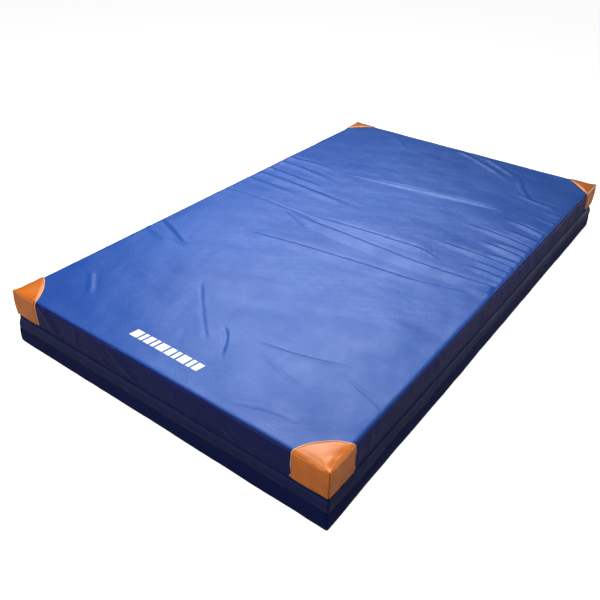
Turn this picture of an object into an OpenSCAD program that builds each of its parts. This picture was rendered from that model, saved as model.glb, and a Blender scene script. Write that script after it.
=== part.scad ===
// Crash landing mat: a foam core in a zipped cover of coated fabric with leather corner caps.
// The origin is on the floor under the middle of the mat. +X runs across the width, +Y along
// the length and +Z up. The front wall faces -Y, the right wall +X, the back wall +Y and the
// left wall -X. The zip runs along the front and right walls, round the corner between them,
// and a hanging flap hides it. The carrying handles are on the left wall.

/* [Mat] */
// Width over the cover walls
mat_w = 1200; // [900:10:2000]
// Length over the cover walls
mat_l = 2000; // [1300:10:3000]
// Height from the floor to the landing face
mat_h = 200; // [180:5:400]
// Radius of the upright corners
corner_r = 16; // [12:1:30]
// Height of the seam under the corner caps, where the flap is sewn on
seam_z = 110; // [95:1:125]

/* [Core] */
// Thickness of the firm base slab
base_slab_h = 80; // [40:5:110]
// Room between the core and the cover walls
core_gap = 5; // [4.5:0.5:12]
// Room between the core and the landing face
core_slack = 0.5; // [0.2:0.1:3]

/* [Cover] */
// Thickness of the coated fabric
skin_t = 1; // [0.6:0.1:1.4]
// Thickness of the non-slip base fabric
base_t = 1.5; // [1:0.1:3]
// Thickness of the leather
leather_t = 1.5; // [1:0.1:3]
// Reach of a corner cap along each edge
cap_reach = 112; // [70:1:160]
// How far a lower band is tucked behind the upper band where there is no zip
lap_h = 8; // [4:1:15]

/* [Zip] */
// Distance of the zip's middle below the flap seam
zip_drop = 26; // [24:1:30]
// Width of the gap between the bands that shows the zip
zip_gap = 15; // [14:0.5:20]
// Width of the closed chain
chain_w = 8; // [7:0.5:9]
// Depth of the chain
chain_t = 3; // [2.5:0.1:3.2]
// Width of each tape, from the chain outwards
tape_w = 14; // [10:1:16]
// Thickness of the tapes
tape_t = 0.8; // [0.5:0.1:0.9]
// Distance from each far corner to the end of the zip
zip_end = 60; // [40:1:120]
// Length of a slider
slider_l = 14; // [12:1:20]
// Thickness of a slider's plates
plate_t = 1.5; // [1.2:0.1:1.6]
// Radius of the stud that a pull swings on
stud_r = 2; // [1.5:0.1:2.4]
// Distance from a pull's stud to its far end
pull_l = 21; // [16:1:22]
// Width of a pull
pull_w = 8; // [7:0.5:10]
// Thickness of a pull
pull_t = 1.6; // [1:0.1:1.8]

/* [Flap] */
// Height of the hem that is sewn to the upper band
hem_h = 6; // [4:0.5:8]
// Thickness of the flap
flap_t = 1.2; // [0.8:0.1:1.6]
// How far the flap's free edge hangs below the pulls
flap_cover = 3; // [1:0.5:10]
// Room between a pull's stud and the flap
flap_room = 2.7; // [2:0.1:6]
// Distance from each far corner of the mat to the end of the flap
flap_end = 6; // [4:1:50]
// Gap between the two flaps at their mitred corner
mitre_gap = 3; // [2.5:0.5:8]

/* [Handles] */
// Distance of each handle from the middle of the left wall
handle_y = 450; // [250:10:480]
// Width of the webbing
web_w = 40; // [30:1:50]
// Thickness of the webbing
web_t = 2.5; // [2:0.1:3.5]
// Free span between the sewn ends
handle_span = 200; // [160:5:260]
// How far the slack webbing stands out from its sewn ends
handle_slack = 38; // [32:1:50]
// Length of each sewn end
sewn_l = 50; // [40:1:70]
// Margin of a backing patch round its sewn end
patch_margin = 8; // [4:1:10]
// Angle below level at which a slack handle hangs
handle_droop = 45; // [20:1:45]

/* [Hidden] */
$fn = 64;

// The walls, in the order in which quarter turns of the front wall reach them.
FRONT = 0;
RIGHT = 1;
BACK = 2;
LEFT = 3;

zip_z = seam_z - zip_drop;
zip_ease = 0.4;                               // clearance of a slider round the chain and tape
half_chain_gap = 0.7;                         // half the slot in the chain for a slider's web
web_half_t = 0.4;                             // half the thickness of a slider's web
slider_half_w = zip_gap / 2 - 1.3;            // half a slider's width
flange_h = slider_half_w - chain_w / 2 - zip_ease;
stop_l = 4;                                   // length of an end stop
stop_play = 0.5;                              // gap between an end stop and a parked slider's web
tape_tail = 8;                                // tape past the end of the chain
web_l = 6;                                    // length of a slider's web
pull_play = 0.4;                              // clearance at each face of a pull
stud_play = 0.25;                             // clearance round a pull's stud
stud_head_t = 0.8;                            // thickness of the stud's head
pull_x = zip_ease + plate_t + pull_play;      // inner face of a pull, out from the wall
stud_x = pull_x + pull_t + pull_play + stud_head_t;
flap_out = stud_x + flap_room + flap_t;       // outer face of a closed flap, out from the wall
hinge_x = leather_t + 0.1;                    // hinge fold, out from the wall
hinge_z = seam_z - hem_h - 0.6;
hinge_play = 0.3;                             // gap between the fold's axis and the loose flap
knee_z = zip_z + slider_half_w + 2;           // bottom of the flap's slanted top
foot_z = zip_z - pull_l - flap_cover;         // free edge of the flap
park = zip_end + tape_tail + stop_play + slider_l / 2; // far corner to a parked slider's middle
handle_z = (seam_z + mat_h) / 2;
handle_axis = 6;                              // handle axis, out from the wall
neck_half_w = 4;                              // half the webbing's gathered width at a sewn end
end_play = 1;                                 // gap between loose webbing and its sewn end
clip = corner_r + 40;                         // reach of the clipping shapes on both sides of a wall

// Outline of the mat seen from above, grown by out.
module plan(out = 0) {
    w = mat_w + 2 * out;
    l = mat_l + 2 * out;
    r = corner_r + out;
    square([w - 2 * r, l], center = true);
    square([w, l - 2 * r], center = true);
    for (x = [-1, 1], y = [-1, 1])
        translate([x * (w / 2 - r), y * (l / 2 - r)]) circle(r);
}

// A sheet t thick standing all round the mat, with its outer face out from the wall plane.
module wall(out, t, z0, z1) {
    translate([0, 0, z0]) linear_extrude(z1 - z0) difference() {
        plan(out);
        plan(out - t);
    }
}

// The part of the plan that belongs to one wall, cut on the diagonals of its corners.
module wall_area(side) {
    across = side % 2 == 0;
    half_run = (across ? mat_w : mat_l) / 2;
    away = (across ? mat_l : mat_w) / 2;
    rotate(side * 90) polygon([
        [-half_run - clip, -away - clip], [half_run + clip, -away - clip],
        [half_run - clip, -away + clip], [-half_run + clip, -away + clip]]);
}

// The plan of the zip's run along the front and right walls, cut short at both ends.
module zip_area(cut = 0) {
    x0 = -mat_w / 2 + zip_end + cut;
    y1 = mat_l / 2 - zip_end - cut;
    polygon([
        [x0, -mat_l / 2 - clip], [mat_w / 2 + clip, -mat_l / 2 - clip], [mat_w / 2 + clip, y1],
        [mat_w / 2 - clip, y1], [mat_w / 2 - clip, -mat_l / 2 + clip], [x0, -mat_l / 2 + clip]]);
}

// Children drawn for the right wall, with x out from the wall, y along it and z above the zip.
module at_right_zip() {
    translate([mat_w / 2, mat_l / 2 - park, zip_z]) children();
}

// The same children on the front wall, parked near its left end.
module at_front_zip() {
    translate([-mat_w / 2 + park, -mat_l / 2, zip_z])
        rotate(-90) mirror([0, 1, 0]) children();
}

// Children drawn with x out from the left wall and y = 0 at a handle's middle.
module at_handle(y) {
    translate([-mat_w / 2, y, handle_z]) mirror([1, 0, 0]) children();
}

module foam_base_slab() {
    color("gainsboro") translate([0, 0, base_t])
        linear_extrude(base_slab_h) plan(-skin_t - core_gap);
}

module foam_top_slab() {
    z0 = base_t + base_slab_h;
    color("lemonchiffon") translate([0, 0, z0])
        linear_extrude(mat_h - skin_t - core_slack - z0) plan(-skin_t - core_gap);
}

module base_panel() {
    color("dimgray") linear_extrude(base_t) plan();
}

module top_panel() {
    color("royalblue") translate([0, 0, mat_h - skin_t]) linear_extrude(skin_t) plan();
}

module upper_band(side) {
    z0 = side == FRONT || side == RIGHT ? zip_z + zip_gap / 2 : seam_z;
    color("midnightblue") intersection() {
        wall(0, skin_t, z0, mat_h - skin_t);
        translate([0, 0, z0]) linear_extrude(mat_h) wall_area(side);
    }
}

// The lower band ends below the zip, or is tucked behind the upper band on the other walls.
module lower_band(side) {
    zipped = side == FRONT || side == RIGHT;
    z1 = zipped ? zip_z - zip_gap / 2 : seam_z + lap_h;
    color("navy") intersection() {
        wall(zipped ? 0 : -skin_t, skin_t, base_t, z1);
        linear_extrude(mat_h) wall_area(side);
    }
}

module corner_cap(x_side, y_side) {
    color("peru") intersection() {
        union() {
            wall(leather_t, leather_t, seam_z, mat_h);
            translate([0, 0, mat_h]) linear_extrude(leather_t) plan(leather_t);
        }
        translate([x_side * mat_w / 2, y_side * mat_l / 2, seam_z])
            cylinder(r = cap_reach, h = mat_h - seam_z + leather_t);
    }
}

// One tape of the zip: upwards for up = 1, downwards for up = -1.
module zip_tape(up) {
    near = zip_z + up * chain_w / 2;
    far = near + up * tape_w;
    color("darkslategray") intersection() {
        wall(-skin_t, tape_t, min(near, far), max(near, far));
        linear_extrude(mat_h) zip_area();
    }
}

// One row of teeth, kept as a strip: the upper row for up = 1, the lower for up = -1.
module zip_teeth(up) {
    near = zip_z + up * half_chain_gap;
    far = zip_z + up * chain_w / 2;
    color("black") intersection() {
        wall(0, chain_t, min(near, far), max(near, far));
        linear_extrude(mat_h) zip_area(tape_tail);
    }
}

// A stop at each end of the chain.
module zip_end_stops() {
    color("silver") intersection() {
        wall(0, chain_t, zip_z - chain_w / 2 + zip_ease, zip_z + chain_w / 2 - zip_ease);
        linear_extrude(mat_h) difference() {
            zip_area(tape_tail - stop_l);
            zip_area(tape_tail);
        }
    }
}

// A slider with x out from the wall. It opens the zip as it moves towards -y.
module slider() {
    head_x = pull_x + pull_t + pull_play;
    color("silver") {
        for (x = [zip_ease, -chain_t - zip_ease - plate_t])
            translate([x, -slider_l / 2, -slider_half_w])
                cube([plate_t, slider_l, 2 * slider_half_w]);
        translate([-chain_t - zip_ease, slider_l / 2 - web_l, -web_half_t])
            cube([chain_t + 2 * zip_ease, web_l, 2 * web_half_t]);
        for (z = [-slider_half_w, slider_half_w - flange_h]) {
            translate([-skin_t + zip_ease, -slider_l / 2, z])
                cube([skin_t, slider_l, flange_h]);
            translate([-chain_t - zip_ease, -slider_l / 2, z])
                cube([chain_t - skin_t - tape_t, slider_l, flange_h]);
        }
        translate([zip_ease + plate_t, 0, 0]) rotate([0, 90, 0])
            cylinder(r = stud_r, h = head_x - zip_ease - plate_t);
        translate([head_x, 0, 0]) rotate([0, 90, 0]) cylinder(r = stud_r + 1.2, h = stud_head_t);
    }
}

// The pull hangs from the slider's stud and swings in the plane of the wall.
module pull() {
    eye_r = stud_r + 2.2;
    end_r = pull_w / 2;
    color("silver") translate([pull_x, 0, 0]) rotate([0, 90, 0]) difference() {
        union() {
            cylinder(r = eye_r, h = pull_t);
            translate([0, -end_r + 0.5, 0]) cube([pull_l - end_r, pull_w - 1, pull_t]);
            translate([pull_l - end_r, 0, 0]) cylinder(r = end_r, h = pull_t);
        }
        translate([0, 0, -1]) cylinder(r = stud_r + stud_play, h = pull_t + 2);
        translate([pull_l - end_r, 0, -1]) cylinder(r = 1.7, h = pull_t + 2);
    }
}

// The strip of the flap that is sewn down, in one length round the corner.
module flap_hem() {
    color("midnightblue") intersection() {
        wall(skin_t, skin_t, seam_z - hem_h, seam_z);
        linear_extrude(mat_h) zip_area(flap_end - zip_end);
    }
}

// The loose part of the flap in section: x out from the wall, y above the floor.
module flap_section() {
    top_z = hinge_z - hinge_play;
    polygon([
        [hinge_x + flap_t, top_z], [flap_out, knee_z], [flap_out, foot_z],
        [flap_out - flap_t, foot_z], [flap_out - flap_t, knee_z], [hinge_x, top_z]]);
}

// The right wall's flap, from the mitred front corner to its end near the back corner.
module flap_right() {
    x = mat_w / 2;
    y = mat_l / 2;
    color("midnightblue") intersection() {
        translate([x, y - flap_end, 0]) rotate([90, 0, 0])
            linear_extrude(mat_l - flap_end + clip) flap_section();
        linear_extrude(mat_h) polygon([
            [x, -y + mitre_gap / 2], [x + clip, -y - clip + mitre_gap / 2],
            [x + clip, y], [x, y]]);
    }
}

// The front wall's flap, from its end near the left corner to the mitred right corner.
module flap_front() {
    x = mat_w / 2;
    y = mat_l / 2;
    color("midnightblue") intersection() {
        translate([-x + flap_end, -y, 0]) rotate([90, 0, 90])
            linear_extrude(mat_w - flap_end + clip) mirror([1, 0]) flap_section();
        linear_extrude(mat_h) polygon([
            [x - mitre_gap / 2, -y], [x + clip - mitre_gap / 2, -y - clip],
            [-x, -y - clip], [-x, -y]]);
    }
}

// Backing patches under the four sewn ends.
module handle_patches() {
    length = sewn_l + 2 * patch_margin;
    height = web_w + 2 * patch_margin;
    color("midnightblue") for (y = [-handle_y, handle_y], end = [-1, 1])
        at_handle(y) translate([0, end * (handle_span + sewn_l) / 2 - length / 2, -height / 2])
            cube([skin_t, length, height]);
}

// The four ends of the webbing, sewn flat on their patches.
module handle_sewn_ends() {
    color("black") for (y = [-handle_y, handle_y], end = [-1, 1])
        at_handle(y) translate([skin_t, end * (handle_span + sewn_l) / 2 - sewn_l / 2, -web_w / 2])
            cube([web_t, sewn_l, web_w]);
}

// The free webbing of one handle: an arch that is gathered towards its ends and hangs down.
module handle_strap(y) {
    end_y = handle_span / 2 - end_play;
    top_y = end_y - handle_slack;
    leg_t = web_t * sqrt(2);                  // a leg at 45 degrees, measured along the wall
    full_x = web_w / 2 - neck_half_w;         // where the taper reaches the full width
    color("black") at_handle(y) translate([handle_axis, 0, 0]) rotate([0, handle_droop, 0])
        intersection() {
            translate([0, 0, -web_w / 2]) linear_extrude(web_w) polygon([
                [0, -end_y], [handle_slack, -top_y], [handle_slack, top_y], [0, end_y],
                [0, end_y - leg_t], [handle_slack - web_t, top_y - leg_t + web_t],
                [handle_slack - web_t, -top_y + leg_t - web_t], [0, -end_y + leg_t]]);
            rotate([90, 0, 0]) translate([0, 0, -handle_span / 2])
                linear_extrude(handle_span) polygon([
                    [0, -neck_half_w], [full_x, -web_w / 2], [handle_slack + 1, -web_w / 2],
                    [handle_slack + 1, web_w / 2], [full_x, web_w / 2], [0, neck_half_w]]);
        }
}

foam_base_slab();
foam_top_slab();
base_panel();
top_panel();
upper_band(FRONT);  // upper_band_front
upper_band(RIGHT);  // upper_band_right
upper_band(BACK);  // upper_band_back
upper_band(LEFT);  // upper_band_left
lower_band(FRONT);  // lower_band_front
lower_band(RIGHT);  // lower_band_right
lower_band(BACK);  // lower_band_back
lower_band(LEFT);  // lower_band_left
corner_cap(-1, -1);  // corner_cap_front_left
corner_cap(1, -1);  // corner_cap_front_right
corner_cap(-1, 1);  // corner_cap_back_left
corner_cap(1, 1);  // corner_cap_back_right
zip_tape(1);  // zip_tape_upper
zip_tape(-1);  // zip_tape_lower
zip_teeth(1);  // zip_teeth_upper
zip_teeth(-1);  // zip_teeth_lower
zip_end_stops();
at_front_zip() slider();  // slider_front
at_right_zip() slider();  // slider_right
at_front_zip() pull();  // pull_front
at_right_zip() pull();  // pull_right
flap_hem();
flap_front();
flap_right();
handle_patches();
handle_sewn_ends();
handle_strap(-handle_y);  // handle_strap_near
handle_strap(handle_y);  // handle_strap_far
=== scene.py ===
"""Looks of the crash landing mat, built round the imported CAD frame. Metres, +Z up, +Y along the mat."""

import math

import bpy
import numpy as np
from mathutils import Matrix, Vector


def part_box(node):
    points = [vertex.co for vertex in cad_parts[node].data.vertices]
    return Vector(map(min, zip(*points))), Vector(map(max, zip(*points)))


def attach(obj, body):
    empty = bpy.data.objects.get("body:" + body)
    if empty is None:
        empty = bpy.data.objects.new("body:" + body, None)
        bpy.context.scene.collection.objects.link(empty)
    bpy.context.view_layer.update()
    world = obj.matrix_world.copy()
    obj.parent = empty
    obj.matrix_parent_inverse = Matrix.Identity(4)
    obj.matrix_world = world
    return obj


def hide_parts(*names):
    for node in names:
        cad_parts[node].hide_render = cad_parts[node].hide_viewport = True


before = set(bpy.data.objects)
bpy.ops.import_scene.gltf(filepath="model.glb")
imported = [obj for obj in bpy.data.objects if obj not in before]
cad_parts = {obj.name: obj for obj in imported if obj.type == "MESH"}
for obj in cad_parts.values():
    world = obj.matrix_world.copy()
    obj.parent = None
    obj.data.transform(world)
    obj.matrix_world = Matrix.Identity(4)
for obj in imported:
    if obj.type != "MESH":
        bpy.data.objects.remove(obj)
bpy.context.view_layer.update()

# ---------------------------------------------------------------- sizes taken from the frame
HALF_W, HALF_L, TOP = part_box("top_panel")[1]
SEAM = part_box("corner_cap_front_left")[0].z  # seam under the caps, where the flap hangs
BAND_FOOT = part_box("upper_band_right")[0].z  # lower edge of the upper band, at the zip
ZIP_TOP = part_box("lower_band_right")[1].z  # upper edge of the lower band, at the zip
ZIP_Z = (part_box("zip_teeth_upper")[0].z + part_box("zip_teeth_lower")[1].z) / 2
CHAIN_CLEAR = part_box("pull_front")[0].z  # above this the lower bands leave room for the pulls
PATCH_LOW, PATCH_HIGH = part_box("handle_patches")
STRAP_LOW, STRAP_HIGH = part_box("handle_strap_far")
HANDLE_Z = (PATCH_LOW.z + PATCH_HIGH.z) / 2
HANDLE_AXIS = 0.006  # hinge line of the handles, out from the wall
HANDLE_Y = (STRAP_LOW.y + STRAP_HIGH.y) / 2
STRAP_END = (STRAP_HIGH.y - STRAP_LOW.y) / 2
SEWN_L, WEB_W, WEB_T = 0.050, 0.040, 0.0025  # a strap's sewn end, and its webbing
PATCH_H = PATCH_HIGH.z - PATCH_LOW.z
PATCH_L = PATCH_H + SEWN_L - WEB_W
PATCH_Y = PATCH_HIGH.y - HANDLE_Y - PATCH_L / 2  # a patch's middle, from its handle's middle
HANDLE_ENDS = [(y, end) for y in (-HANDLE_Y, HANDLE_Y) for end in (-1, 1)]
FRONT, RIGHT, BACK, LEFT = range(4)
SIDES = ("front", "right", "back", "left")
HALF_RUN = (HALF_W, HALF_L, HALF_W, HALF_L)

EDGE_R, FOOT_R, POINT_R = 0.010, 0.005, 0.0035  # rounding along the edges, the floor's, and at the corners
CHAIN_R = 0.014  # the walls' corner where the zip goes round it
SKIN, LEATHER = 0.001, 0.0018  # thickness of the coated fabric, and of the caps
FACE_CELL, WALL_CELL = (0.0064, 0.0041), (0.006, 0.004)  # grids of the landing face and of the walls

FOLD_GAIN = 1.5  # how much stronger the landing face's folds are than their listed heights
DEEPEST = 0.0015  # how far a fold may sink, with the foam under it
WALL_SWELL, FLOOR_SWELL = 0.0045, 0.0105  # how far the upper and the lower bands bulge
CROWN_CELL, CROWN_LIMIT, CROWN_FRAMES = 0.02, 0.004, 20  # the simulated crown's grid, rise and frames

# The flap in section, from its sewn root to its free edge: distance out from the wall, and height.
FLAP_SECTION = [(0.0016, 0.1034), (0.0042, 0.1002), (0.0074, 0.0940), (0.0094, 0.0860), (0.0098, 0.0770),
                (0.0090, 0.0700), (0.0078, 0.0640)]
FLAP_T, FLAP_DROP = 0.0012, 0.052  # its thickness, and its flat width
PULL_CLEAR = 0.0068  # the flap hangs outside the zip pulls
FLAP_CELL = 0.006  # its grid along the wall
FLAP_END = 0.006  # bare length of wall beyond the flap's far end
MITRE = 0.0009  # half the gap between the flaps at their corner


# ---------------------------------------------------------------- small mathematics
def ease(t):
    """0 to 1 with a soft start and end."""
    t = np.clip(t, 0, 1)
    return t * t * (3 - 2 * t)


def bell(d, width):
    return np.exp(-((d / width) ** 2))


def ripple(x, y, wavelength, seed, count=7):
    """Smooth seeded noise of about unit size at the points x, y."""
    rng = np.random.default_rng(seed)
    total = np.zeros(np.broadcast(x, y).shape)
    for angle, phase, stretch in rng.uniform((0, 0, 0.6), (math.pi, 2 * math.pi, 1.6), (count, 3)):
        k = 2 * math.pi / (wavelength * stretch)
        total += np.sin(k * (x * math.cos(angle) + y * math.sin(angle)) + phase)
    return total / math.sqrt(count)


def smooth_path(points, per=8):
    """A Catmull-Rom curve through the points."""
    p = np.array(points, float)
    p = np.vstack([2 * p[0] - p[1], p, 2 * p[-1] - p[-2]])
    t = np.linspace(0, 1, per, endpoint=False)[:, None]
    parts = [
        0.5 * (2 * b + (c - a) * t + (2 * a - 5 * b + 4 * c - d) * t ** 2 + (3 * b - a - 3 * c + d) * t ** 3)
        for a, b, c, d in zip(p, p[1:], p[2:], p[3:])
    ]
    return np.vstack([*parts, p[-2:-1]])


def spaced(path, step):
    """The path again, with its points step apart, and the distance along it of each."""
    along = np.concatenate([[0], np.cumsum(np.linalg.norm(np.diff(path, axis=0), axis=1))])
    at = np.linspace(0, along[-1], max(2, round(along[-1] / step) + 1))
    return np.stack([np.interp(at, along, path[:, k]) for k in range(path.shape[1])], axis=1), at


def fold(x, y, points, height, width, lean=0.0, fade=(0.25, 0.25), crisp=0.0):
    """Height at x, y of a fold in cloth that runs along points. It is steeper on the left of the path
    where lean is positive, and a negative height is a valley. It fades over that share at each end,
    and goes from a soft roll to a sharp pleat as crisp goes from 0 to 1."""
    path = smooth_path(points)
    steps = np.linalg.norm(np.diff(path, axis=0), axis=1)
    before, whole = np.concatenate([[0], np.cumsum(steps)]), steps.sum()
    found, gap, left, at = np.zeros(x.shape), np.full(x.shape, np.inf), np.zeros(x.shape), np.zeros(x.shape)
    reach = 4 * width
    near = (x > path[:, 0].min() - reach) & (x < path[:, 0].max() + reach)
    near &= (y > path[:, 1].min() - reach) & (y < path[:, 1].max() + reach)
    if not near.any():
        return found
    px, py = x[near], y[near]
    g, s, a = gap[near], left[near], at[near]
    for (ax, ay), (bx, by), start, long in zip(path, path[1:], before, steps):
        dx, dy = bx - ax, by - ay
        t = np.clip(((px - ax) * dx + (py - ay) * dy) / long ** 2, 0, 1)
        ox, oy = px - ax - t * dx, py - ay - t * dy
        d = np.hypot(ox, oy)
        closer = d < g
        g = np.where(closer, d, g)
        s = np.where(closer, np.sign(dx * oy - dy * ox), s)
        a = np.where(closer, (start + t * long) / whole, a)
    w = width * (1 - lean * s) * (1 - crisp * (1 - np.sqrt(ease(a / fade[0]) * ease((1 - a) / fade[1]))))
    roof = np.clip(1 - np.hypot(g, 0.1 * w) / (1.5 * w), 0, 1)
    shape = (1 - crisp) * bell(g, w) + crisp * roof - 0.3 * (s > 0) * bell(g - 1.8 * w, 0.9 * w)
    found[near] = height * shape * ease(a / fade[0]) * ease((1 - a) / fade[1])
    return found


# ---------------------------------------------------------------- the stuffed cover's surface
def rounded(p, grow_out=0.0, grow_up=0.0):
    """A point of the sharp box moved onto the box with rounded edges, and the outward direction there.
    The box is first larger by grow_out on each wall and by grow_up at its top."""
    inset = np.maximum(HALF_W - np.abs(p[..., 0]), HALF_L - np.abs(p[..., 1]))
    sharp = POINT_R + (CHAIN_R - POINT_R) * bell(p[..., 2] - ZIP_Z, 0.020)
    along = FOOT_R + (EDGE_R - FOOT_R) * ease(p[..., 2] / 0.08)
    r = (sharp + (along - sharp) * ease(inset / 0.035))[..., None]
    grow = np.stack([0 * inset + grow_out, 0 * inset + grow_out, 0 * inset + grow_up], -1)
    half = np.array([HALF_W, HALF_L, TOP])
    p, half = p * (1 + grow / half), half + grow
    q = np.clip(p, r - half * [1, 1, 0], half - r)
    n = p - q
    n = n / np.linalg.norm(n, axis=-1, keepdims=True)
    return q + n * r, n


def wall_point(side, u, z):
    """A point of the sharp box on a wall. u runs to the right as one looks at the wall."""
    u, z = np.broadcast_arrays(u, z)
    flat = np.stack([u, np.full(u.shape, -HALF_RUN[(side + 1) % 4])], -1)
    c, s = ((1, 0), (0, 1), (-1, 0), (0, -1))[side]
    return np.stack([c * flat[..., 0] - s * flat[..., 1], s * flat[..., 0] + c * flat[..., 1], z], -1)


def edge_seam(side, u, d):
    """Groove and sewing puckers of the seam round the landing face, d away from the edge."""
    pucker = ripple(u, 0 * u, 0.035, 20 + side) * np.sin(u * 2 * math.pi / 0.021)
    return -0.0016 * bell(d, 0.0035) + 0.00035 * pucker * bell(d - 0.006, 0.010)


# Folds on the landing face: points, height, width, lean, and the share that fades at each end.
TOP_FOLDS = [
    ([(-0.34, 0.40), (-0.05, 0.452), (0.20, 0.488), (0.41, 0.516)], 0.0034, 0.0110, 0.4, (0.5, 0.15), 0.9),
    ([(-0.26, -0.032), (0.0, -0.050), (0.25, -0.060), (0.45, -0.057), (0.60, -0.040)], 0.0050, 0.0225, 0.55,
     (0.35, 0.03), 0.8),
    ([(-0.60, 0.0), (-0.42, 0.0), (-0.25, -0.008), (-0.08, -0.020)], -0.0016, 0.006, 0.0, (0.05, 0.3)),
    ([(-0.19, 0.0), (0.0, 0.012), (0.15, 0.022), (0.31, 0.034)], 0.0034, 0.0150, 0.45, (0.5, 0.15), 0.8),
    ([(0.29, 0.030), (0.32, 0.022), (0.36, 0.004)], 0.0012, 0.005, 0.0, (0.3, 0.4)),
    ([(-0.29, -0.015), (-0.20, -0.056), (-0.11, -0.100)], -0.0022, 0.0045, 0.0, (0.2, 0.3)),
    ([(-0.37, -0.254), (-0.1, -0.222), (0.1, -0.198), (0.3, -0.172), (0.42, -0.158)], 0.0042, 0.0190, 0.5,
     (0.6, 0.3), 0.9),
    ([(0.35, -0.168), (0.45, -0.145), (0.54, -0.118)], 0.0015, 0.005, 0.0, (0.2, 0.4)),
    ([(-0.60, 0.405), (-0.46, 0.412), (-0.32, 0.400)], 0.0022, 0.014, 0.2, (0.05, 0.5)),
    ([(-0.60, 0.345), (-0.45, 0.335), (-0.27, 0.300)], 0.0028, 0.015, 0.2, (0.05, 0.5)),
    ([(-0.60, 0.262), (-0.45, 0.245), (-0.24, 0.222)], 0.0022, 0.013, 0.2, (0.05, 0.5)),
    ([(-0.60, 0.196), (-0.38, 0.178), (-0.04, 0.155)], 0.0030, 0.017, 0.3, (0.05, 0.6)),
    ([(-0.60, 0.120), (-0.45, 0.110), (-0.30, 0.100)], 0.0016, 0.015, 0.2, (0.05, 0.5)),
    ([(-0.03, 0.975), (0.12, 0.90), (0.31, 0.79)], 0.0026, 0.014, 0.0, (0.1, 0.4)),
    ([(0.11, 0.975), (0.24, 0.89), (0.33, 0.84)], 0.0022, 0.012, 0.0, (0.1, 0.4)),
    ([(0.31, 0.87), (0.37, 0.75), (0.45, 0.655)], 0.0018, 0.009, 0.0, (0.3, 0.3)),
    ([(0.36, 0.70), (0.45, 0.665), (0.56, 0.655)], 0.0018, 0.012, 0.0, (0.3, 0.2)),
    ([(-0.36, 0.96), (-0.28, 0.88), (-0.20, 0.80)], 0.0014, 0.014, 0.0, (0.2, 0.5)),
    ([(-0.19, -0.59), (-0.08, -0.70), (0.06, -0.83)], -0.0014, 0.0050, 0.0, (0.3, 0.2)),
    ([(0.04, -0.73), (0.085, -0.775), (0.135, -0.855)], -0.0024, 0.0048, 0.0, (0.15, 0.3)),
    ([(0.15, -0.737), (0.30, -0.71), (0.46, -0.655)], 0.0014, 0.0055, 0.0, (0.3, 0.3)),
    ([(0.44, -0.70), (0.53, -0.725), (0.60, -0.752)], -0.0014, 0.0060, 0.0, (0.3, 0.1)),
    ([(0.18, -0.76), (0.32, -0.80), (0.44, -0.82)], 0.0010, 0.0060, 0.0, (0.3, 0.4)),
    ([(-0.60, -0.382), (-0.50, -0.42), (-0.37, -0.478)], -0.0026, 0.011, 0.0, (0.05, 0.4)),
    ([(-0.60, -0.44), (-0.50, -0.47), (-0.42, -0.50)], 0.0016, 0.013, 0.0, (0.05, 0.4)),
    ([(-0.51, -0.77), (-0.45, -0.82), (-0.39, -0.875)], 0.0016, 0.009, 0.0, (0.3, 0.3)),
    ([(0.27, -0.965), (0.35, -0.93), (0.46, -0.915)], 0.0012, 0.007, 0.0, (0.2, 0.4)),
]
# Short folds that run in from the right edge: place on the edge, inner end, rise towards the inner end.
for edge_y, inner_x, rise, tall in (
    (0.525, 0.46, 0.020, 0.0016), (0.405, 0.40, 0.042, 0.0030), (0.345, 0.44, 0.020, 0.0016),
    (0.285, 0.29, 0.034, 0.0034), (0.242, 0.46, 0.012, 0.0016), (0.197, 0.40, 0.030, 0.0030),
    (0.152, 0.45, 0.010, 0.0016), (0.113, 0.28, 0.016, 0.0034), (0.072, 0.44, 0.006, 0.0018),
    (0.030, 0.43, 0.004, 0.0020), (0.600, 0.48, 0.010, 0.0012), (-0.085, 0.50, -0.012, 0.0014),
):
    inward = [(0.60, edge_y), (0.5 * (0.60 + inner_x), edge_y + 0.62 * rise), (inner_x, edge_y + rise)]
    TOP_FOLDS.append((inward[::-1], 1.15 * tall, 0.0125, 0.35, (0.6, 0.06), 0.5))

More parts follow.
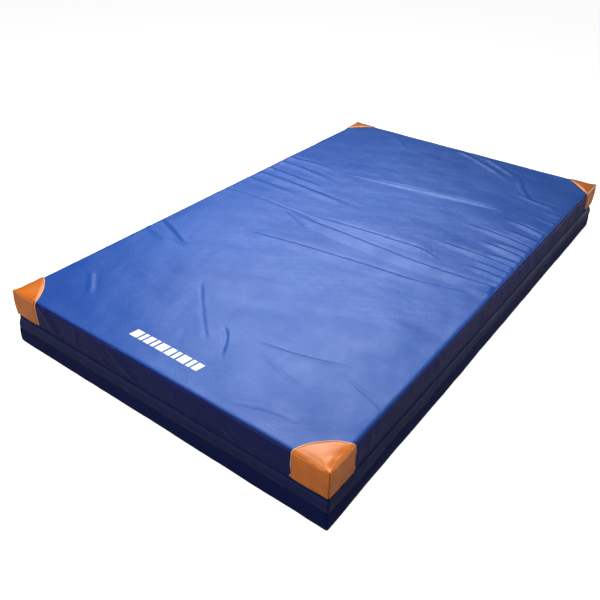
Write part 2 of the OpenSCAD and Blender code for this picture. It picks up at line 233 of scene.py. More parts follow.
# Folds on the upper bands, with points given as distance along the wall and height.
BAND_FOLDS = {
    FRONT: [
        ([(-0.475, 0.198), (-0.44, 0.160), (-0.40, 0.113)], 0.0052, 0.014, -0.4, (0.1, 0.1)),
        ([(-0.30, 0.195), (-0.305, 0.150), (-0.312, 0.118)], 0.0024, 0.010, 0.0, (0.2, 0.2)),
        ([(-0.165, 0.196), (-0.105, 0.152), (-0.045, 0.114)], 0.0040, 0.012, -0.3, (0.15, 0.1)),
        ([(-0.20, 0.150), (-0.18, 0.128), (-0.135, 0.114)], 0.0024, 0.009, 0.0, (0.3, 0.2)),
        ([(0.27, 0.160), (0.29, 0.135), (0.325, 0.116)], 0.0022, 0.009, 0.0, (0.3, 0.2)),
        ([(0.12, 0.196), (0.10, 0.155), (0.09, 0.122)], 0.0018, 0.011, 0.0, (0.2, 0.3)),
    ],
    RIGHT: [
        ([(-0.82, 0.196), (-0.825, 0.150), (-0.815, 0.116)], 0.0022, 0.010, 0.0, (0.2, 0.2)),
        ([(-0.47, 0.190), (-0.44, 0.150), (-0.40, 0.116)], 0.0024, 0.012, 0.2, (0.2, 0.2)),
        ([(-0.16, 0.196), (-0.14, 0.150), (-0.145, 0.116)], 0.0030, 0.010, 0.2, (0.2, 0.2)),
    ],
    BACK: [
        ([(-0.33, 0.196), (-0.30, 0.150), (-0.25, 0.116)], 0.0030, 0.012, 0.2, (0.2, 0.2)),
        ([(0.18, 0.196), (0.16, 0.150), (0.17, 0.116)], 0.0024, 0.010, 0.0, (0.2, 0.2)),
    ],
    LEFT: [
        ([(-0.74, 0.196), (-0.72, 0.150), (-0.68, 0.116)], 0.0030, 0.012, 0.2, (0.2, 0.2)),
        ([(0.08, 0.196), (0.06, 0.150), (0.05, 0.116)], 0.0026, 0.011, 0.0, (0.2, 0.2)),
    ],
}
for side, seed, many in ((RIGHT, 5, 13), (LEFT, 6, 11), (BACK, 7, 6)):
    rng = np.random.default_rng(seed)
    for at in np.linspace(-0.05 if side == RIGHT else -0.85, 0.84, many) * HALF_RUN[side]:
        place, slant = at + rng.uniform(-0.03, 0.03), rng.uniform(-0.018, 0.018)
        tall = rng.uniform(0.0012, 0.0034)
        upright = [(place - slant, 0.197), (place, 0.155), (place + slant, 0.114)]
        BAND_FOLDS[side].append((upright, tall, rng.uniform(0.008, 0.014), 0.2, (0.15, 0.3)))


def simulated_crown():
    """Heights on a grid of the landing face, from Blender's Cloth: a sheet sewn down round its
    edge and pushed up by the foam."""
    x, y = np.meshgrid(*(np.linspace(-h, h, round(2 * h / CROWN_CELL) + 1) for h in (HALF_W, HALF_L)))
    z = 0.0006 * np.sin(21 * x + 3 * np.sin(4 * y)) * np.sin(17 * y + 9 * x)
    cloth = make("crown_cloth", np.stack([x, y, z], -1), grid_faces(*x.shape))
    edge = np.flatnonzero((np.abs(x) > HALF_W - CROWN_CELL / 2) | (np.abs(y) > HALF_L - CROWN_CELL / 2))
    cloth.vertex_groups.new(name="sewn").add(edge.tolist(), 1.0, "ADD")
    modifier = cloth.modifiers.new("cloth", "CLOTH")
    values = dict(quality=5, mass=0.3, tension_stiffness=15, compression_stiffness=15, shear_stiffness=5,
                  bending_stiffness=0.5, air_damping=1, vertex_group_mass="sewn", use_pressure=True,
                  uniform_pressure_force=1.0)
    for name, value in values.items():
        setattr(modifier.settings, name, value)
    modifier.settings.effector_weights.gravity = 0
    modifier.point_cache.frame_end = CROWN_FRAMES
    for frame_number in range(1, CROWN_FRAMES + 1):
        bpy.context.scene.frame_set(frame_number)
    settled = cloth.evaluated_get(bpy.context.evaluated_depsgraph_get())
    heights = np.array([v.co.z for v in settled.data.vertices]).reshape(x.shape)
    bpy.data.objects.remove(cloth)
    bpy.context.scene.frame_set(1)
    return CROWN_LIMIT * np.tanh(heights / CROWN_LIMIT)


def crown(x, y):
    """The simulated crown's height at x, y, by a smooth spline over its grid."""
    rows, cols = CROWN.shape
    across = np.clip((x / HALF_W + 1) / 2, 0, 1) * (cols - 1)
    along = np.clip((y / HALF_L + 1) / 2, 0, 1) * (rows - 1)
    i, j = across.astype(int), along.astype(int)
    height = np.zeros(np.shape(x))
    for b, share_y in enumerate(spline_shares(along - j)):
        row = np.clip(j + b - 1, 0, rows - 1)
        for a, share_x in enumerate(spline_shares(across - i)):
            height += share_x * share_y * CROWN[row, np.clip(i + a - 1, 0, cols - 1)]
    return height


def spline_shares(t):
    """Shares of the four nearest grid values, in a cubic B-spline."""
    return (1 - t) ** 3 / 6, (3 * t**3 - 6 * t**2 + 4) / 6, (-3 * t**3 + 3 * t**2 + 3 * t + 1) / 6, t**3 / 6


def top_relief(x, y):
    """How far the landing face stands above its plane."""
    from_side, from_end = HALF_W - np.abs(x), HALF_L - np.abs(y)
    d = np.minimum(from_side, from_end)
    inside = ease((d - 0.004) / 0.05)
    soft = 0.0013 * ripple(x, y, 0.42, 1) + 0.0005 * ripple(x, y, 0.13, 2) + 0.00016 * ripple(x, y, 0.05, 3)
    lifted = crown(x, y) + soft * inside
    for points, height, width, lean, fade, *crisp in TOP_FOLDS:
        lifted += fold(x, y, points, FOLD_GAIN * height, width, lean, fade, *crisp)
    lifted = np.where(lifted < 0, -DEEPEST * np.tanh(-lifted / DEEPEST), lifted)
    lifted *= ease((d + 0.004) / 0.014)
    lengthways = from_side < from_end
    seam = np.where(lengthways, edge_seam(RIGHT, y, d), edge_seam(FRONT, x, d))
    return lifted + seam


def upper_relief(side, u, z):
    """How far an upper band stands out from its plane."""
    from_end = HALF_RUN[side] - np.abs(u)
    t = (z - SEAM) / (TOP - SEAM)
    swell = WALL_SWELL * np.sin(math.pi * np.clip(t, 0, 1)) ** 0.7 * (0.35 + 0.65 * ease(from_end / 0.25))
    mid = ease(from_end / 0.06) * ease(t / 0.15) * ease((1 - t) / 0.08)
    soft = (0.0011 * ripple(u, z, 0.30, 30 + side) + 0.0004 * ripple(u, z, 0.07, 40 + side)) * mid
    for points, height, width, lean, fade in BAND_FOLDS[side]:
        soft += fold(u, z, points, height, width, lean, fade) * ease(from_end / 0.06)
    gather = 0.0005 * np.sin(u * 2 * math.pi / 0.037 + ripple(u, 0 * u, 0.2, 50 + side))
    gather *= bell(z - SEAM - 0.008, 0.012)
    relief = swell + soft + gather * mid
    if side == LEFT:
        relief *= 1 - 0.85 * handle_dent(u, z)
    return relief + edge_seam(side, u, TOP - z)


def handle_dent(u, z):
    """How far the sewn patches of the handles hold the left wall flat, from 0 to 1. u runs against +Y
    there."""
    held = np.zeros(u.shape)
    for y, end in HANDLE_ENDS:
        beside, above = np.abs(u + y + end * PATCH_Y) - PATCH_L / 2, np.abs(z - HANDLE_Z) - PATCH_H / 2
        held = np.maximum(held, ease(1 - np.maximum(beside, above) / 0.025))
    return held


def lower_swell(z, shut):
    """How far the lower bands bulge over the floor. They lie flush from the height shut up."""
    full = np.clip(1 - np.clip(z / shut, 0, 1) ** 2.4, 0, 1) ** 0.9
    return FLOOR_SWELL * full * ease((z + 0.006) / 0.018)


def lower_relief(side, u, z, shut):
    """Creases on a lower band."""
    from_end = HALF_RUN[side] - np.abs(u)
    t = np.clip(z / shut, 0, 1)
    mid = ease(from_end / 0.05) * ease((1 - t) / 0.3) * ease((z + 0.010) / 0.03)
    soft = 0.0009 * ripple(u, 1.6 * z, 0.22, 60 + side) + 0.0003 * ripple(u, 0.5 * z, 0.06, 70 + side)
    crease = 0.0007 * np.sin(z / 0.009 + 2 * ripple(u, 0 * u, 0.5, 80 + side))
    return (soft + crease) * mid


def cover_point(sharp, relief, grow_out=0.0, grow_up=0.0):
    """The cover's surface over a point of the sharp box, standing out by relief."""
    p, n = rounded(sharp, grow_out, grow_up)
    return p + n * relief[..., None], n


# ---------------------------------------------------------------- mesh building
def grid_faces(rows, cols):
    """Quads over a grid of points whose columns run along u and rows along v, facing u x v."""
    i = np.arange((rows - 1) * cols).reshape(rows - 1, cols)[:, :-1].ravel()
    return np.stack([i, i + 1, i + cols + 1, i + cols], 1)


def add_object(name, data):
    made = bpy.data.objects.new(name, data)
    bpy.context.scene.collection.objects.link(made)
    return made


def make(name, points, faces, *materials, smooth=True):
    """A mesh object. Faces are an array, or a list where they differ in their number of corners."""
    mesh = bpy.data.meshes.new(name)
    faces = faces.tolist() if isinstance(faces, np.ndarray) else faces
    mesh.from_pydata(np.reshape(points, (-1, 3)).tolist(), [], faces)
    mesh.polygons.foreach_set("use_smooth", [smooth] * len(mesh.polygons))
    for m in materials:
        mesh.materials.append(m)
    return add_object(name, mesh)


def tube_faces(rings, size, start, flip=False):
    """Faces of a closed tube through rings of size points each, the first of them numbered start."""
    faces = []
    for low in range(start, start + (rings - 1) * size, size):
        for j in range(size):
            a, e = low + j, low + (j + 1) % size
            faces.append((a, e, e + size, a + size) if flip else (a, a + size, e + size, e))
    last = start + (rings - 1) * size
    lid, end = tuple(range(start, start + size)), tuple(range(last, last + size))
    return faces + ([lid[::-1], end] if flip else [lid, end[::-1]])


def grid_piece(name, points, *materials):
    return make(name, points, grid_faces(*points.shape[:2]), *materials)


def thicken(obj, thickness):
    """Gives a sheet its real thickness, inwards from the modelled face."""
    m = obj.modifiers.new("thickness", "SOLIDIFY")
    m.thickness = thickness
    m.offset = -1.0
    m.use_even_offset = False
    return obj


def weld(obj):
    obj.modifiers.new("weld", "WELD").merge_threshold = 0.00005
    return obj


def bake_modifiers(obj):
    """Applies the modifiers, so that the mesh itself is final."""
    graph = bpy.context.evaluated_depsgraph_get()
    mesh = bpy.data.meshes.new_from_object(obj.evaluated_get(graph))
    obj.modifiers.clear()
    obj.data = mesh
    return obj


def stitch_row(path, normals, pitch=0.0042, length=0.0030, radius=0.00042):
    """Points and faces of a row of thread stitches that lie along a path on a surface."""
    both, at = spaced(np.hstack([path, normals]), 0.001)
    points, faces = [], []
    ring = np.linspace(0, 2 * math.pi, 6, endpoint=False)
    # Along the stitch, in its length; its thickness; and its height over the cloth, in its radius.
    stations = ((-0.5, 0.25, -0.7), (-0.36, 1, 0.2), (0, 1.1, 0.55), (0.36, 1, 0.2), (0.5, 0.25, -0.7))
    for c in np.arange(pitch / 2, at[-1], pitch):
        place = np.array([np.interp(c, at, both[:, k]) for k in range(6)])
        ahead = np.array([np.interp(min(c + 0.001, at[-1]), at, both[:, k]) for k in range(3)])
        behind = np.array([np.interp(max(c - 0.001, 0), at, both[:, k]) for k in range(3)])
        t = ahead - behind
        t /= np.linalg.norm(t)
        n = place[3:] / np.linalg.norm(place[3:])
        b = np.cross(n, t)
        faces += tube_faces(len(stations), 6, len(points) * 6)
        for along, wide, up in stations:
            middle = place[:3] + t * along * length + n * up * radius
            points.append(middle + radius * wide * (np.outer(np.cos(ring), b) + np.outer(np.sin(ring), n)))
    return np.vstack(points), faces


def stitches(name, rows, material, **sizes):
    """One object with several rows of stitches, each given as (path, normals)."""
    points, faces, start = [], [], 0
    for path, normals in rows:
        p, f = stitch_row(path, normals, **sizes)
        points.append(p)
        faces += [tuple(i + start for i in face) for face in f]
        start += len(p)
    return make(name, np.vstack(points), faces, material)


# ---------------------------------------------------------------- materials
class Shader:
    """A node material in the making: a Principled shader and short ways to feed it."""

    def __init__(self, name, base, rough, **fixed):
        self.material = bpy.data.materials.new(name)
        self.material.use_nodes = True
        self.tree = self.material.node_tree
        self.bsdf = self.tree.nodes["Principled BSDF"]
        self.bsdf.inputs["Base Color"].default_value = (*base, 1)
        self.bsdf.inputs["Roughness"].default_value = rough
        for socket, value in fixed.items():
            self.bsdf.inputs[socket.replace("_", " ")].default_value = value
        self.base = base
        self.place = self.node("ShaderNodeTexCoord").outputs["Object"]

    def node(self, kind, **settings):
        made = self.tree.nodes.new(kind)
        for key, value in settings.items():
            if key in made.inputs:
                made.inputs[key].default_value = value
            else:
                setattr(made, key, value)
        return made

    def link(self, a, b):
        self.tree.links.new(a, b)

    def stretched(self, scale):
        """The object's own coordinates, scaled by axis."""
        mapping = self.node("ShaderNodeMapping")
        mapping.inputs["Scale"].default_value = scale
        self.link(self.place, mapping.inputs["Vector"])
        return mapping.outputs["Vector"]

    def noise(self, scale, detail=3.0, rough=0.5, stretch=None):
        made = self.node("ShaderNodeTexNoise", Scale=scale, Detail=detail, Roughness=rough)
        self.link(self.stretched(stretch) if stretch else self.place, made.inputs["Vector"])
        return made.outputs["Fac"]

    def cells(self, scale, feature="F1"):
        made = self.node("ShaderNodeTexVoronoi", feature=feature)
        made.inputs["Scale"].default_value = scale
        self.link(self.place, made.inputs["Vector"])
        return made.outputs["Distance"]

    def bands(self, scale, direction):
        made = self.node("ShaderNodeTexWave", wave_type="BANDS", bands_direction=direction)
        made.inputs["Scale"].default_value = scale
        made.inputs["Distortion"].default_value = 0.0
        self.link(self.place, made.inputs["Vector"])
        return made.outputs["Fac"]

    def remap(self, value, low, high, from_low=0.3, from_high=0.7):
        made = self.node("ShaderNodeMapRange")
        values = {"From Min": from_low, "From Max": from_high, "To Min": low, "To Max": high}
        for socket, number in values.items():
            made.inputs[socket].default_value = number
        self.link(value, made.inputs["Value"])
        return made.outputs["Result"]

    def maths(self, operation, a, b):
        made = self.node("ShaderNodeMath", operation=operation)
        for k, value in enumerate((a, b)):
            if isinstance(value, (int, float)):
                made.inputs[k].default_value = value
            else:
                self.link(value, made.inputs[k])
        return made.outputs["Value"]

    def tint(self, amount, dark, light, under=None):
        """Colour that goes from the base times dark to the base times light as amount goes 0 to 1. A
        single number stands for a grey."""
        dark, light = (np.broadcast_to(k, 3).tolist() for k in (dark, light))
        made = self.node("ShaderNodeMix", data_type="RGBA")
        made.inputs["A"].default_value = (*[c * k for c, k in zip(self.base, dark)], 1)
        made.inputs["B"].default_value = (*[min(1, c * k) for c, k in zip(self.base, light)], 1)
        self.link(amount, made.inputs["Factor"])
        if under is not None:
            self.link(under, made.inputs["A"])
        return made.outputs["Result"]

    def colour(self, value):
        self.link(value, self.bsdf.inputs["Base Color"])

    def mottle(self, dark, light, *noise):
        """Colour that wanders between the base times dark and the base times light."""
        self.colour(self.tint(self.remap(self.noise(*noise), 0, 1), dark, light))

    def roughness(self, value):
        self.link(value, self.bsdf.inputs["Roughness"])

    def bump(self, *layers):
        """Bump layers as (height, distance in metres), the coarsest first."""
        normal = None
        for height, distance in layers:
            made = self.node("ShaderNodeBump", Strength=1.0, Distance=distance)
            self.link(height, made.inputs["Height"])
            if normal is not None:
                self.link(normal, made.inputs["Normal"])
            normal = made.outputs["Normal"]
        self.link(normal, self.bsdf.inputs["Normal"])


def coated_fabric(name, base, rough, specular):
    """Coated polyester: a faint woven grid under a fine-grained, satin skin with paler patches."""
    s = Shader(name, base, rough, Specular_IOR_Level=specular, Sheen_Weight=0.06, Sheen_Roughness=0.4)
    patches = s.noise(3.2, 5.0, 0.62)
    cloud = s.tint(s.remap(patches, 0, 1, 0.32, 0.70), (0.90, 0.92, 0.95), (1.12, 1.10, 1.05))
    specks = s.noise(160.0, 2.0, 0.6)
    s.colour(s.tint(s.remap(specks, 0, 0.35, 0.55, 0.85), 1, (1.35, 1.3, 1.2), cloud))
    s.roughness(s.remap(s.noise(9.0, 4.0, 0.6), rough - 0.05, rough + 0.07))
    weave = s.maths("ADD", s.bands(95.0, "X"), s.bands(95.0, "Y"))
    s.bump((s.noise(30.0, 4.0, 0.6), 0.0011), (s.noise(120.0, 3.0, 0.6), 0.00035), (weave, 0.00003),
           (s.noise(420.0, 3.0, 0.6), 0.00010))
    return s.material


def leather():
    """Smooth tan hide: fine pebbled grain, soft blotches, darker where it is worn."""
    s = Shader("tan_leather", (0.68, 0.212, 0.022), 0.38, Specular_IOR_Level=0.3,
               Coat_Weight=0.65, Coat_Roughness=0.32)
    blotch = s.tint(s.remap(s.noise(14.0, 4.0, 0.6), 0, 1), (0.86, 0.82, 0.78), (1.10, 1.10, 1.12))
    pores = s.cells(900.0)
    s.colour(s.tint(s.remap(pores, 0.30, 0, 0.05, 0.35), 1, (0.55, 0.5, 0.45), blotch))
    s.roughness(s.remap(s.noise(45.0, 3.0), 0.34, 0.48))
    s.bump((s.noise(60.0, 3.0), 0.0004), (s.cells(620.0, "SMOOTH_F1"), 0.00016),
           (s.noise(1500.0, 2.0), 0.00004))
    return s.material


def raw_edge():
    s = Shader("leather_raw_edge", (0.93, 0.55, 0.32), 0.6)
    s.mottle((0.88, 0.85, 0.8), (1.05, 1.08, 1.1), 240.0, 3.0)
    s.bump((s.noise(900.0, 2.0), 0.0001),)
    return s.material


def thread(name, base):
    s = Shader(name, base, 0.6, Sheen_Weight=0.2)
    s.mottle(0.7, 1.25, 700.0, 2.0)
    s.bump((s.bands(900.0, "DIAGONAL"), 0.00006),)
    return s.material


def webbing():
    """Heavy woven strap: ribs along the pull and a fine cross weave."""
    s = Shader("webbing", (0.014, 0.015, 0.020), 0.72, Sheen_Weight=0.35, Sheen_Roughness=0.4)
    both = s.maths("MULTIPLY", s.bands(160.0, "Z"), s.bands(260.0, "Y"))
    s.colour(s.tint(both, 0.6, (2.0, 2.0, 2.1)))
    s.bump((s.noise(60.0), 0.0003), (both, 0.00035), (s.noise(1800.0), 0.00006))
    return s.material


def woven_tape():
    s = Shader("zip_tape", (0.012, 0.015, 0.042), 0.75, Sheen_Weight=0.25)
    cross = s.maths("MULTIPLY", s.bands(330.0, "Z"), s.maths("ADD", s.bands(330.0, "X"), s.bands(330.0, "Y")))
    s.colour(s.tint(cross, 0.7, 1.8))
    s.bump((cross, 0.00018),)
    return s.material


def moulded():
    s = Shader("zip_teeth", (0.016, 0.017, 0.035), 0.32, Specular_IOR_Level=0.5)
    s.roughness(s.remap(s.noise(300.0), 0.26, 0.42))
    s.mottle(0.8, 1.3, 90.0)
    s.bump((s.noise(700.0), 0.00004),)
    return s.material


def nickel():
    s = Shader("nickel_plate", (0.62, 0.61, 0.58), 0.28, Metallic=1.0)
    s.mottle((0.75, 0.74, 0.72), 1.1, 120.0, 4.0)
    s.roughness(s.remap(s.noise(400.0, 3.0, 0.6, (1, 1, 6)), 0.20, 0.42))
    s.bump((s.noise(900.0, 2.0, 0.5, (1, 1, 8)), 0.00003),)
    return s.material


def foam(name, base):
    s = Shader(name, base, 0.9, Sheen_Weight=0.2)
    s.mottle((0.9, 0.88, 0.85), 1.05, 25.0, 4.0)
    s.bump((s.cells(260.0), 0.0012), (s.noise(700.0, 3.0), 0.0005))
    return s.material


def grip_fabric():
    """Non-slip base cloth: raised dots of dark rubber on a dark ground."""
    s = Shader("base_cloth", (0.018, 0.018, 0.022), 0.7)
    dots = s.cells(110.0)
    s.colour(s.tint(s.remap(dots, 1, 0, 0.2, 0.4), 0.8, 2.2))
    s.bump((s.remap(dots, 1, 0, 0.1, 0.45), 0.0007), (s.noise(900.0), 0.0001))
    return s.material


def print_ink():
    s = Shader("white_ink", (0.86, 0.87, 0.90), 0.45)
    s.colour(s.tint(s.remap(s.noise(180.0, 5.0, 0.7), 0, 1, 0.25, 0.45), (0.80, 0.82, 0.88), 1))
    s.bump((s.noise(420.0, 3.0), 0.00005),)
    return s.material


BLUE = coated_fabric("blue_cloth", (0.021, 0.101, 0.385), 0.40, 0.37)
NAVY = coated_fabric("navy_cloth", (0.0068, 0.0135, 0.120), 0.50, 0.25)
# A lighter, greener copy of the navy cloth, used on the flaps: painted light on their upturned strip, not a
# cloth of its own.
LIT_FLAP_NAVY = coated_fabric("navy_cloth_painted_light", (0.0070, 0.0170, 0.100), 0.50, 0.25)
# A darker copy of the navy cloth, used on the lower bands: painted shade of the walls near the floor, not a
# cloth of its own.
SHADED_NAVY = coated_fabric("navy_cloth_painted_shade", (0.0055, 0.0145, 0.098), 0.55, 0.12)
TAN, RAW = leather(), raw_edge()
BROWN_THREAD = thread("brown_thread", (0.16, 0.045, 0.018))
NAVY_THREAD = thread("navy_thread", (0.020, 0.026, 0.075))
WEB, TAPE, TEETH, METAL = webbing(), woven_tape(), moulded(), nickel()
WEB_THREAD = thread("black_thread", (0.05, 0.05, 0.055))
SOFT_FOAM, FIRM_FOAM = foam("soft_foam", (0.78, 0.72, 0.56)), foam("firm_foam", (0.36, 0.37, 0.38))
GRIP, INK = grip_fabric(), print_ink()


# ---------------------------------------------------------------- cover panels
def finish_piece(obj, slot, body="mat", *nodes):
    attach(obj, body)
    if nodes:
        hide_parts(*nodes)
    return obj


def steps(low, high, size):
    return np.linspace(low, high, max(2, round((high - low) / size) + 1))


def cloth_piece(name, points, material, slot, node, thickness=SKIN):
    piece = thicken(grid_piece(name, points, material), thickness)
    return finish_piece(piece, slot, "mat", node)


def on_face(x, y, out=0.0):
    """Points on the landing face, standing out by out."""
    return cover_point(np.stack([x, y, np.full(x.shape, TOP)], -1), top_relief(x, y) + out)[0]


def landing_face():
    x, y = np.meshgrid(steps(-HALF_W, HALF_W, FACE_CELL[0]), steps(-HALF_L, HALF_L, FACE_CELL[1]))
    piece = cloth_piece("top_panel_cloth", on_face(x, y), BLUE, "blue_pvc", "top_panel")


def upper_band(side):
    foot = BAND_FOOT if side in (FRONT, RIGHT) else SEAM
    run, name = HALF_RUN[side], f"upper_band_{SIDES[side]}"
    u, z = np.meshgrid(steps(-run, run, WALL_CELL[0]), steps(foot, TOP, WALL_CELL[1]))
    points, _ = cover_point(wall_point(side, u, z), upper_relief(side, u, z))
    piece = cloth_piece(name + "_cloth", points, NAVY, "navy_pvc", name)


def lower_band(side):
    zipped = side in (FRONT, RIGHT)
    top = ZIP_TOP if zipped else SEAM - 0.0005
    shut = CHAIN_CLEAR if zipped else SEAM + 0.004
    run, name = HALF_RUN[side], f"lower_band_{SIDES[side]}"
    u, z = np.meshgrid(steps(-run, run, WALL_CELL[0]), steps(0.0, top, WALL_CELL[1]))
    relief = lower_relief(side, u, z, shut)
    points, _ = cover_point(wall_point(side, u, z), relief, lower_swell(z, shut))
    # The lower bands take the darker copy of the navy cloth: painted shade near the floor.
    piece = cloth_piece(name + "_cloth", points, SHADED_NAVY, "navy_pvc", name)


def base_cloth():
    x, y = np.meshgrid(steps(-HALF_W, HALF_W, 0.012), steps(-HALF_L, HALF_L, 0.012)[::-1])
    sharp = np.stack([x, y, np.zeros(x.shape)], -1)
    points, _ = cover_point(sharp, 0 * x, lower_swell(0.0, ZIP_TOP))
    points[..., 2] = np.maximum(points[..., 2], 0.0)
    piece = cloth_piece("base_panel_cloth", points, GRIP, "base_fabric", "base_panel")


def foam_block(node, material, slot):
    """A cut foam slab: a box with slightly soft edges."""
    low, high = (np.array(c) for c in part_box(node))
    if high[2] > SEAM:
        high[2] -= 0.003  # room under the loose landing face
    middle, half = (low + high) / 2, (high - low) / 2
    soft, count = 0.006, 41
    points, faces = [], []
    for axis in range(3):
        for sign in (-1, 1):
            s, t = np.meshgrid(np.linspace(-1, 1, count), np.linspace(-1, 1, count))
            p = np.zeros((count, count, 3))
            p[..., axis], p[..., (axis + 1) % 3], p[..., (axis + 2) % 3] = sign, s * sign, t
            p = p * half
            q = np.clip(p, -(half - soft), half - soft)
            n = p - q
            p = q + soft * n / np.linalg.norm(n, axis=-1, keepdims=True)
            faces.append(grid_faces(count, count) + len(points) * count * count)
            points.append(p.reshape(-1, 3) + middle)
    piece = make(node + "_block", np.vstack(points), np.vstack(faces), material)
    finish_piece(bake_modifiers(weld(piece)), slot, "mat", node)


# ---------------------------------------------------------------- leather corner caps
class Cap:
    """A leather cap over one corner: a sector of the landing face and a flank on both walls.
    across runs 0 at the corner to 1 at the outline. around runs 0 to 1 up the first wall, 1 to 2
    round the landing face and 2 to 3 down the second wall."""

    LIFT = 0.0026  # how far the leather stands off the cover
    STITCH_IN = 0.0052  # its row of stitches, in from the outline

    def __init__(self, name, x_side, y_side, reach, roundness, flare, dip):
        self.name, self.x_side, self.y_side = name, x_side, y_side
        self.reach, self.roundness, self.flare, self.dip = reach, roundness, flare, dip

    def outline(self, angle):
        c, s = np.cos(angle), np.sin(angle)
        n = self.roundness
        return self.reach / (np.abs(c) ** n + np.abs(s) ** n) ** (1 / n)

    def surface(self, across, around):
        """Points and outward directions. The first wall faces the Y side, the second the X side."""
        across, around = np.broadcast_arrays(across, around)
        angle = np.clip(around - 1, 0, 1) * math.pi / 2
        out = across * self.outline(angle)
        top = np.stack([out * np.cos(angle), out * np.sin(angle), np.full(out.shape, TOP)], -1)
        low = np.where(around < 1, 1 - around, around - 2)
        flare = np.where(around < 1, self.flare[0], self.flare[1])
        dip = np.where(around < 1, self.dip[0], self.dip[1])
        foot = SEAM + 0.004 - dip * ease(across / 0.7)
        z = TOP - low * (TOP - foot)
        leg = across * (self.reach + flare * low)
        first = np.stack([leg, 0 * leg, z], -1)
        second = np.stack([0 * leg, leg, z], -1)
        sharp = np.where((around < 1)[..., None], first, np.where((around > 2)[..., None], second, top))
        depth = TOP - sharp[..., 2]
        wall_swell = 0.3 * WALL_SWELL * np.sin(math.pi * np.clip(depth / (TOP - SEAM), 0, 1)) ** 0.7
        on_top = (around >= 1) & (around <= 2)
        inset = np.minimum(sharp[..., 0], sharp[..., 1])
        top_swell = np.where(on_top, 0.0025 * ease(inset / 0.05), 0)
        pleats = 0.00025 * np.sin(angle * 13 + 1.0) * bell(across - 0.3, 0.22) * on_top * ease(inset / 0.01)
        puff = 0.0022 * ease((1 - across) / 0.12) * ease(depth / 0.03 + on_top * ease(inset / 0.03))
        peak = 0.0022 * bell(np.linalg.norm(sharp - [0, 0, TOP], axis=-1), 0.007)
        beside = np.where(around < 1, sharp[..., 0], sharp[..., 1])
        upright = (~on_top) * (0.0006 * bell(beside - 0.0040, 0.0022) - 0.0018 * bell(beside, 0.0014))
        soft = 0.0003 * ripple(leg + out * np.cos(angle), z + out * np.sin(angle), 0.08, 90)
        groove = -0.0007 * bell((1 - across) * self.reach - self.STITCH_IN, 0.0011)
        drawn = -0.0012 * ease((across - 0.93) / 0.07)
        relief = pleats + puff + peak + upright + soft * ease(across / 0.1) + groove + drawn
        x, y = self.x_side * (HALF_W - sharp[..., 0]), self.y_side * (HALF_L - sharp[..., 1])
        sharp = np.stack([x, y, sharp[..., 2]], -1)
        return cover_point(sharp, relief, self.LIFT + wall_swell, self.LIFT + top_swell)

    def build(self):
        fine = np.array([0.0, 0.0006, 0.0012, 0.0018, 0.0025, 0.0034, 0.0046, 0.0060])
        rim = np.array([0.0078, 0.0064, 0.0052, 0.0040, 0.0026, 0.0014, 0.0])
        wide = np.linspace(0.0078, self.reach - 0.0095, 40)
        across = np.concatenate([fine, wide, self.reach - rim]) / self.reach
        around = [np.linspace(0, 0.999, 34), np.linspace(1, 2, 41), np.linspace(2.001, 3, 34)]
        around = np.concatenate(around)
        points, _ = self.surface(*np.meshgrid(across, around))
        flipped = self.x_side * self.y_side < 0
        if flipped:
            points = points[:, ::-1]
        cap = grid_piece(self.name + "_leather", points, TAN, RAW)
        edge = [0] * (len(across) - 3) + [1, 1]
        if flipped:
            edge = edge[::-1]
        cap.data.polygons.foreach_set("material_index", edge * (len(around) - 1))
        thicken(weld(cap), LEATHER).modifiers["thickness"].material_offset_rim = 1
        finish_piece(bake_modifiers(cap), "leather", "mat", self.name)
        self.sew("_stitches", 1 - self.STITCH_IN / self.reach, np.linspace(0.02, 2.98, 400), 0.0002,
                 radius=0.00055)
        self.sew("_corner_seam", 0.0, np.linspace(0.02, 0.97, 60), 0.0004,
                 pitch=0.0026, length=0.0026, radius=0.0008)

    def sew(self, suffix, across, around, sunk, **sizes):
        """A row of stitches on the leather, sunk a little into it."""
        path, normals = self.surface(across, around)
        row = stitches(self.name + suffix, [(path - normals * sunk, normals)], BROWN_THREAD, **sizes)
        finish_piece(row, "leather")


# ---------------------------------------------------------------- flap over the zip
def flap_points(side, ends, low_v=0.0, high_v=1.0, out=0.0):
    """A grid of points on a flap between two shares of its drop, standing out further by out."""
    section, at = spaced(smooth_path(FLAP_SECTION), 0.0005)
    drop = at[-1]
    rows = max(2, round((high_v - low_v) * drop / 0.0022) + 1)
    length = ends[1] - ends[0]
    t, v = np.meshgrid(np.linspace(0, 1, round(length / FLAP_CELL) + 1), np.linspace(low_v, high_v, rows))
    u = ends[0] + length * t
    away, z = (np.interp(v * drop, at, section[:, k]) for k in (0, 1))
    wave = 0.0011 * ripple(u, 0 * u, 0.24, 110 + side) + 0.0005 * ripple(u, 0 * u, 0.07, 120 + side)
    away = away + out + (wave + 0.0004 * ripple(u, v * drop, 0.04, 130 + side)) * ease(v / 0.8)
    lift = 0.0012 * ripple(u, 0 * u, 0.35, 140 + side)
    near_corner = (HALF_RUN[side] - u if side == FRONT else u + HALF_RUN[side]) / HALF_RUN[side]
    z = z + (lift + 0.006 * ease(1 - near_corner / 0.9) if side == FRONT else lift) * v
    away = np.maximum(away, PULL_CLEAR * ease((0.100 - z) / 0.012) + out)
    below = lower_swell(z, CHAIN_CLEAR) + lower_relief(side, u, z, CHAIN_CLEAR)
    away = np.maximum(away, 0.0012 + FLAP_T + below + out)
    reach = away - MITRE * math.sqrt(2)
    u = u + (reach * t if side == FRONT else -reach * (1 - t))
    return wall_point(side, u, z) + outward(side) * away[..., None]


def outward(side):
    return np.array(((0, -1, 0), (1, 0, 0), (0, 1, 0), (-1, 0, 0))[side], float)


